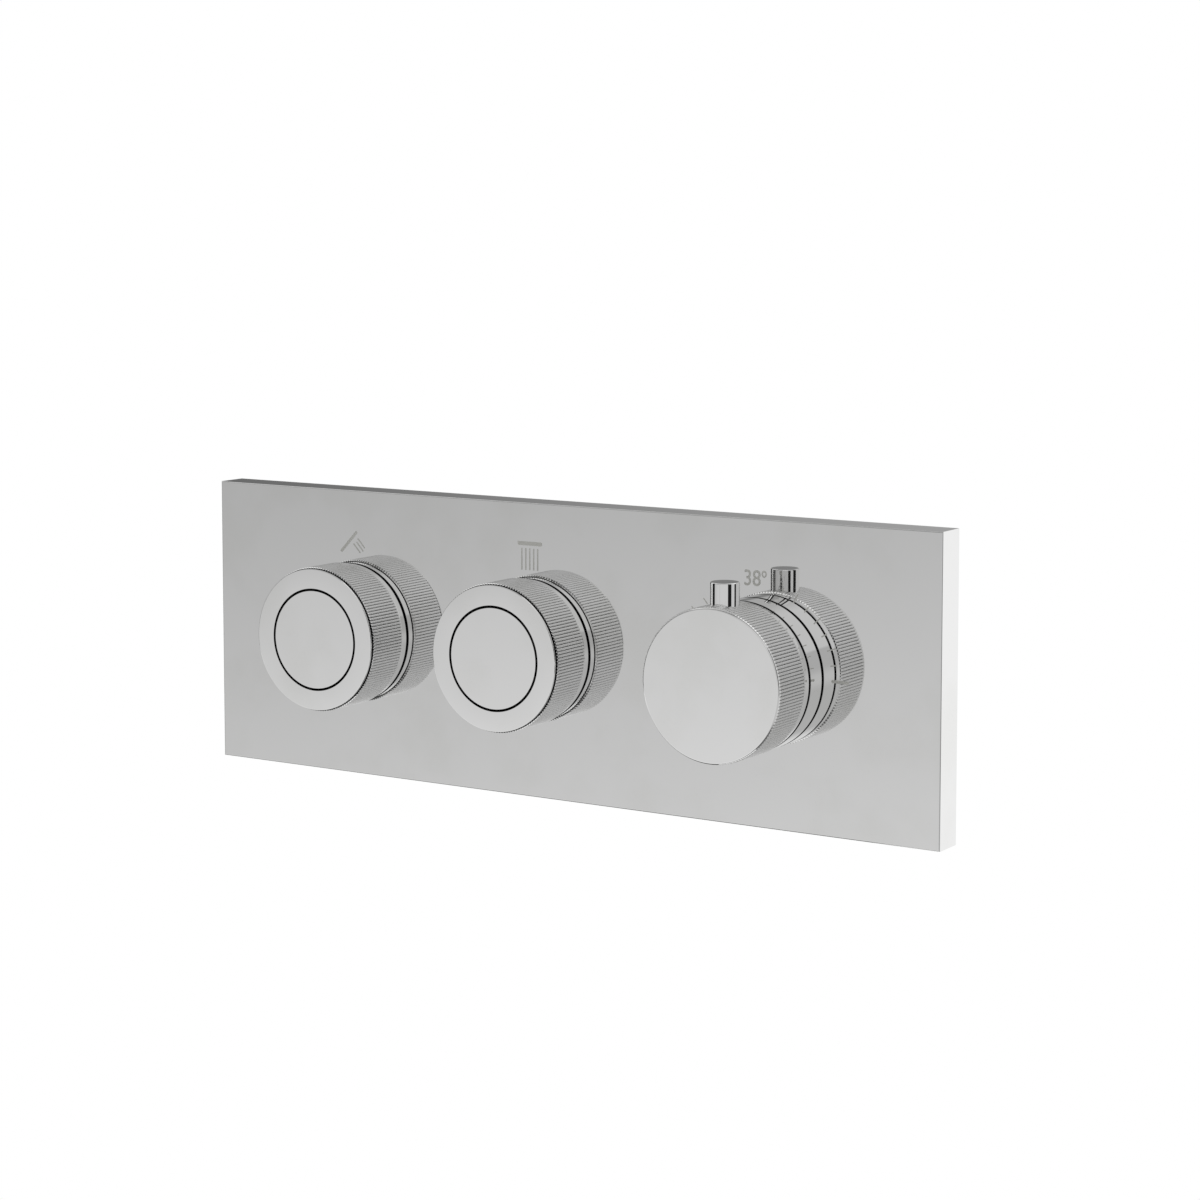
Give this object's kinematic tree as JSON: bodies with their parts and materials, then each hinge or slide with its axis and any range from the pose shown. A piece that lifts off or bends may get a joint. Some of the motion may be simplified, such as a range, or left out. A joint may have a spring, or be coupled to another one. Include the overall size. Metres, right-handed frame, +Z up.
{
  "type": "thermostatic shower valve",
  "caption": "Wide rectangular chrome wall plate with push-button controls in knurled rings beside a knurled temperature knob with a short pin; concealed brass mixer body behind.",
  "frame": {"origin": "middle of the face plate, on the finished wall plane", "axes": "+Z up, +X to the user's right along the plate, the trim faces -Y and the valve body lies behind the wall towards +Y"},
  "size_m": [0.287, 0.1073, 0.1],
  "materials": {
    "plate_chrome": "polished",
    "sleeve_chrome": "polished",
    "button_chrome": "polished",
    "collar_chrome": "polished",
    "knob_chrome": "polished",
    "ring_chrome": "polished",
    "pin_chrome": "polished",
    "black_rubber": "matt",
    "grey_foam": "matt",
    "cast_brass": "sand-cast with turned faces",
    "turned_brass": "turned",
    "zinc_steel": "zinc-plated",
    "spring_steel": "bright wire",
    "dark_plastic": "moulded",
    "white_plastic": "moulded",
    "copper_alloy": "drawn"
  },
  "bodies": {
    "wall_set": {"face_plate": "plate_chrome", "plate_seal": "grey_foam", "carrier_frame": "zinc_steel", "plate_grub_screws": "zinc_steel", "carrier_screws": "zinc_steel", "valve_body": "cast_brass", "gallery_plug": "turned_brass", "gallery_washer": "copper_alloy", "left_collar_seal": "black_rubber", "left_collar": "collar_chrome", "left_cartridge_shell": "turned_brass", "left_cartridge_oring": "black_rubber", "left_valve_seat": "turned_brass", "middle_collar_seal": "black_rubber", "middle_collar": "collar_chrome", "middle_cartridge_shell": "turned_brass", "middle_cartridge_oring": "black_rubber", "middle_valve_seat": "turned_brass", "thermostat_ring_seal": "black_rubber", "thermostat_ring": "ring_chrome", "stop_ring": "dark_plastic", "thermostat_shell": "turned_brass", "thermostat_rear_oring": "black_rubber", "thermostat_middle_oring": "black_rubber", "thermostat_front_oring": "black_rubber", "return_spring_seat": "turned_brass", "return_spring": "spring_steel", "hot_strainer": "zinc_steel", "hot_check_valve": "dark_plastic", "hot_check_spring": "spring_steel", "cold_strainer": "zinc_steel", "cold_check_valve": "dark_plastic", "cold_check_spring": "spring_steel"},
    "left_flow_control": {"left_flow_sleeve": "sleeve_chrome", "left_flow_driver": "dark_plastic", "left_flow_stem": "turned_brass", "left_button_spring": "spring_steel"},
    "left_push_control": {"left_button": "button_chrome", "left_push_rod": "zinc_steel", "left_poppet": "turned_brass", "left_poppet_washer": "black_rubber"},
    "middle_flow_control": {"middle_flow_sleeve": "sleeve_chrome", "middle_flow_driver": "dark_plastic", "middle_flow_stem": "turned_brass", "middle_button_spring": "spring_steel"},
    "middle_push_control": {"middle_button": "button_chrome", "middle_push_rod": "zinc_steel", "middle_poppet": "turned_brass", "middle_poppet_washer": "black_rubber"},
    "temperature_control": {"temperature_knob": "knob_chrome", "knob_adapter": "dark_plastic", "temperature_spindle": "turned_brass", "override_spring": "spring_steel"},
    "override": {"override_button": "pin_chrome"},
    "mixing_group": {"adjusting_nut": "turned_brass", "overload_spring": "spring_steel", "wax_element": "copper_alloy", "mixing_shuttle": "white_plastic"},
    "hot_check": {"hot_check_poppet": "white_plastic"},
    "cold_check": {"cold_check_poppet": "white_plastic"}
  },
  "joints": [
    {"name": "left_flow_turn", "type": "hinge", "parent": "wall_set", "child": "left_flow_control", "pos_m": [-0.085, -0.0328, 0], "axis": [0, -1, 0], "range_deg": [-90, 0]},
    {"name": "left_button_press", "type": "slide", "parent": "left_flow_control", "child": "left_push_control", "axis": [0, 1, 0], "range_m": [0, 0.003], "stiffness_N_per_m": 800, "springref_m": -0.002, "deforming": ["left_button_spring"]},
    {"name": "middle_flow_turn", "type": "hinge", "parent": "wall_set", "child": "middle_flow_control", "pos_m": [-0.01, -0.0328, 0], "axis": [0, -1, 0], "range_deg": [-90, 0]},
    {"name": "middle_button_press", "type": "slide", "parent": "middle_flow_control", "child": "middle_push_control", "axis": [0, 1, 0], "range_m": [0, 0.003], "stiffness_N_per_m": 800, "springref_m": -0.002, "deforming": ["middle_button_spring"]},
    {"name": "temperature_turn", "type": "hinge", "parent": "wall_set", "child": "temperature_control", "pos_m": [0.0775, -0.0403, 0], "axis": [0, -1, 0], "range_deg": [-90, 90]},
    {"name": "mixing_slide", "type": "slide", "parent": "wall_set", "child": "mixing_group", "axis": [0, 1, 0], "range_m": [-0.00125, 0.00125], "deforming": ["return_spring"]},
    {"name": "override_press", "type": "slide", "parent": "temperature_control", "child": "override", "axis": [0, 0, -1], "range_m": [0, 0.0025], "stiffness_N_per_m": 400, "springref_m": -0.002, "deforming": ["override_spring"]},
    {"name": "hot_check_lift", "type": "slide", "parent": "wall_set", "child": "hot_check", "axis": [0, 0, 1], "range_m": [0, 0.002], "stiffness_N_per_m": 20, "springref_m": -0.003, "deforming": ["hot_check_spring"]},
    {"name": "cold_check_lift", "type": "slide", "parent": "wall_set", "child": "cold_check", "axis": [0, 0, 1], "range_m": [0, 0.002], "stiffness_N_per_m": 20, "springref_m": -0.003, "deforming": ["cold_check_spring"]}
  ],
  "couplings": [
    {"joint": "temperature_turn", "follows": "mixing_slide", "rad_per_m": 1256.6}
  ]
}
